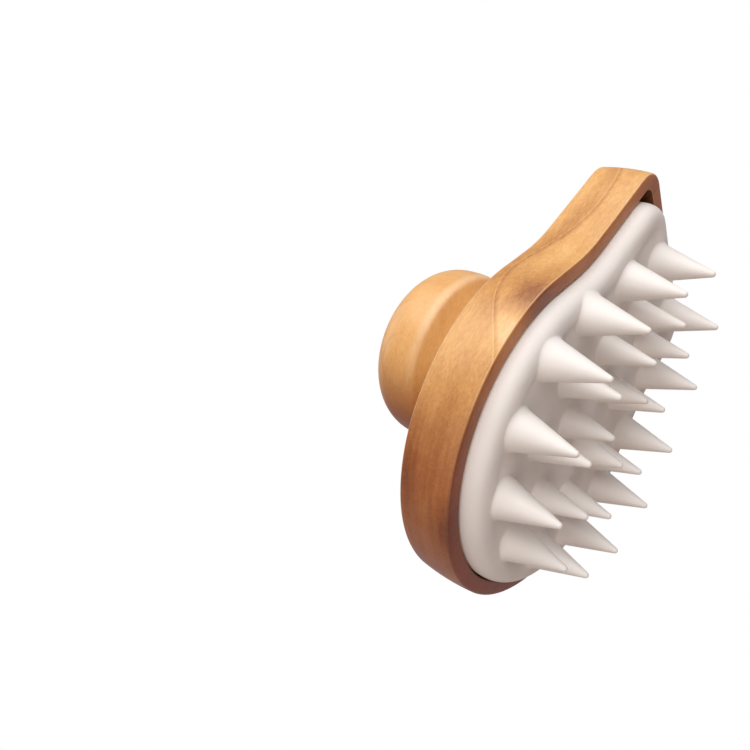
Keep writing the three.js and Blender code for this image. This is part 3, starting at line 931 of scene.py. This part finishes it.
def silicone_cone(name, root, surface):
    """A cone that grows out of the base's surface through a fillet.

    Lengths are in millimetres. Depths are measured down from the root's plane to the tip.
    """
    low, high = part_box(name)
    root_radius = (high.x - low.x) / 2 / MM
    length = (root.z - low.z) / MM
    tip_depth = length - TIP_RADIUS
    lean = math.asin((root_radius - TIP_RADIUS) / tip_depth)
    spread = root_radius / math.cos(lean)
    steepness = 1 / math.tan(lean)

    def base_depth(x, y):
        """Depth of the base's surface, or of a place in the pocket where the ray misses it."""
        start = Vector((root.x + x * MM, root.y + y * MM, RAY_START_Z * MM))
        hit = surface.ray_cast(start, Vector((0, 0, 1)))[0]
        return (root.z - hit.z) / MM if hit is not None else -BASE_PROUD - 1

    def fillet_width(ground):
        """The fillet is narrower where the base's shoulder falls away."""
        return ROOT_FILLET * max(1 + ground / FILLET_FADE_DEPTH, SMALLEST_FILLET_SHARE)

    angles = [TURN * i / CONE_SIDES for i in range(CONE_SIDES)]
    reaches = []
    for angle in angles:
        reach = spread
        while reach < spread + SKIRT_LIMIT:
            ground = base_depth(reach * math.cos(angle), reach * math.sin(angle))
            if ground - (spread - reach) * steepness >= fillet_width(ground):
                break
            reach += SKIRT_SEARCH_STEP
        reaches.append(reach + SKIRT_MARGIN)

    # A ring is a (radius, depth) pair for each angle, from the tip to the plug inside the base
    rings = []
    for i in range(1, TIP_STEPS):
        swing = (math.pi / 2 - lean) * i / TIP_STEPS
        tip_point = (TIP_RADIUS * math.sin(swing), tip_depth + TIP_RADIUS * math.cos(swing))
        rings.append([tip_point] * CONE_SIDES)
    inner = TIP_RADIUS * math.cos(lean)
    side_share = (spread - FILLET_START - inner) / (spread + FILLET_END - inner)
    shares = [side_share * i / CONE_STEPS for i in range(CONE_STEPS)]
    shares += [
        side_share + (1 - side_share) * i / FILLET_STEPS for i in range(FILLET_STEPS + 1)
    ]
    for share in shares:
        ring = []
        for angle, reach in zip(angles, reaches):
            r = inner + (reach - inner) * share
            side = (spread - r) * steepness
            ground = base_depth(r * math.cos(angle), r * math.sin(angle))
            ring.append((r, blend_up(ground - SKIRT_SINK, side, fillet_width(ground))))
        rings.append(ring)
    skirt = rings[-1]
    rings.append([(r - HEM_INSET, depth - HEM_DEPTH) for r, depth in skirt])
    rings.append([(r * PLUG_SHARE, -PLUG_DEPTH) for r, depth in skirt])

    points = [Vector((root.x, root.y, root.z - length * MM))]
    for ring in rings:
        for angle, (r, depth) in zip(angles, ring):
            offset = Vector((r * math.cos(angle), r * math.sin(angle), -depth)) * MM
            points.append(root + offset)
    faces = [(0, 1 + (i + 1) % CONE_SIDES, 1 + i) for i in range(CONE_SIDES)]
    for k in range(len(rings) - 1):
        faces += band(1 + k * CONE_SIDES, 1 + (k + 1) * CONE_SIDES, CONE_SIDES)
    faces.append(tuple(range(len(points) - CONE_SIDES, len(points))))
    cone_name = name.replace("bristle", "silicone_cone")
    made = piece(cone_name, points, faces, silicone_material, CONE_CREASE)
    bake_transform(made)
    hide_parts(name)


wooden_plate()
wooden_knob()
wood_screw()
base = silicone_base()
bpy.context.view_layer.update()
base_surface = BVHTree.FromObject(base, bpy.context.evaluated_depsgraph_get())
for joint in frame["joints"]:
    silicone_cone(joint["child"], Vector(joint["pos_m"]), base_surface)

# The adhesive film keeps its CAD mesh and takes only a material
film = frame["nodes"]["pad_adhesive"]
film.data.materials.clear()
film.data.materials.append(adhesive_material)


# ---- Floor, light and camera --------------------------------------------------------------------

def pale_floor():
    """A wide pale floor under the bristle tips that is seen from above only."""
    half = FLOOR_HALF_WIDTH * MM
    z = cad_low.z - FLOOR_GAP * MM
    corners = [(-half, -half, z), (half, -half, z), (half, half, z), (-half, half, z)]
    shading = Shading("pale_floor")
    speck = shading.noise(shading.place, (40, 40, 40), detail=2.0, offset=61.0)
    colour = shading.ramp(speck, [(0.3, (0.86, 0.86, 0.855)), (0.7, (0.89, 0.89, 0.885))])
    shading.finish(
        Base_Color=colour, Roughness=0.9, Specular_IOR_Level=0.1,
        Emission_Color=colour, Emission_Strength=0.14,
    )
    see_through = shading.add("BsdfTransparent")
    under = shading.add("NewGeometry").outputs["Backfacing"]
    one_sided = shading.add(
        "MixShader", {0: under, 1: shading.shader.outputs[0], 2: see_through.outputs[0]}
    )
    shading.tree.links.new(one_sided.outputs[0], shading.output.inputs["Surface"])
    mesh = bpy.data.meshes.new("floor")
    mesh.from_pydata(corners, [], [(0, 1, 2, 3)])
    mesh.materials.append(shading.material)
    floor = bpy.data.objects.new("floor", mesh)
    bpy.context.scene.collection.objects.link(floor)
    floor.visible_shadow = False
    floor.visible_diffuse = False
    floor.visible_glossy = False


def soft_light(name, direction, spread_degrees, strength, colour=(1, 1, 1), mirrored=True):
    """A wide distant lamp in this direction from the object."""
    data = bpy.data.lights.new(name, "SUN")
    data.angle = math.radians(spread_degrees)
    data.energy = strength
    data.color = colour
    light = bpy.data.objects.new(name, data)
    away = Vector(direction).normalized()
    light.rotation_mode = "QUATERNION"
    light.rotation_quaternion = away.to_track_quat("Z", "Y")
    light.visible_glossy = mirrored
    bpy.context.scene.collection.objects.link(light)


def background(tree, colour, strength):
    made = tree.nodes.new("ShaderNodeBackground")
    made.inputs["Color"].default_value = (*colour, 1)
    made.inputs["Strength"].default_value = strength
    return made


def surroundings():
    """White for the camera, pale lilac in reflections and a soft warm glow on the object."""
    world = bpy.data.worlds.new("studio")
    bpy.context.scene.world = world
    world.use_nodes = True
    tree = world.node_tree
    tree.nodes.clear()
    output = tree.nodes.new("ShaderNodeOutputWorld")
    rays = tree.nodes.new("ShaderNodeLightPath")
    glow = background(tree, (1.0, 0.78, 0.66), 0.17)
    sheen = background(tree, (0.96, 0.85, 0.92), 0.48)
    backdrop = background(tree, (1, 1, 1), 1.0)
    on_object = tree.nodes.new("ShaderNodeMixShader")
    tree.links.new(rays.outputs["Is Glossy Ray"], on_object.inputs[0])
    tree.links.new(glow.outputs[0], on_object.inputs[1])
    tree.links.new(sheen.outputs[0], on_object.inputs[2])
    seen = tree.nodes.new("ShaderNodeMixShader")
    tree.links.new(rays.outputs["Is Camera Ray"], seen.inputs[0])
    tree.links.new(on_object.outputs[0], seen.inputs[1])
    tree.links.new(backdrop.outputs[0], seen.inputs[2])
    tree.links.new(seen.outputs[0], output.inputs["Surface"])


def main_camera():
    data = bpy.data.cameras.new("main_camera")
    data.lens = CAMERA_LENS
    data.clip_start = CAMERA_NEAREST * MM
    camera = bpy.data.objects.new("main_camera", data)
    bpy.context.scene.collection.objects.link(camera)
    forward = Vector(CAMERA_FORWARD).normalized()
    right = forward.cross(Vector(CAMERA_UP)).normalized()
    up = right.cross(forward)
    axes = Matrix((right, up, -forward)).transposed().to_4x4()
    place = (cad_low + cad_high) / 2 + Vector(CAMERA_OFFSET) * MM
    camera.matrix_world = Matrix.Translation(place) @ axes
    bpy.context.scene.camera = camera


pale_floor()
soft_light("side_key", (0.96, 0.13, -0.26), 45, 1.25)
soft_light("upper_key", (0.81, 0.30, 0.50), 45, 1.25)
soft_light("tail_key", (0.76, 0.64, 0.03), 45, 1.05)
soft_light("top_fill", (0.24, 0.0, 0.97), 45, 0.5)
# The main camera faces this one, whose reflection would draw a bright line round the wood
soft_light("back_key", (-0.64, 0.22, 0.73), 35, 1.3, mirrored=False)
soft_light("head_fill", (0.71, -0.70, -0.09), 50, 0.65, (1.0, 0.95, 0.91))
soft_light("low_fill", (0.1, -0.75, -0.66), 60, 0.6, (1.0, 0.80, 0.69))
surroundings()
main_camera()
bpy.context.scene.view_settings.view_transform = "Standard"
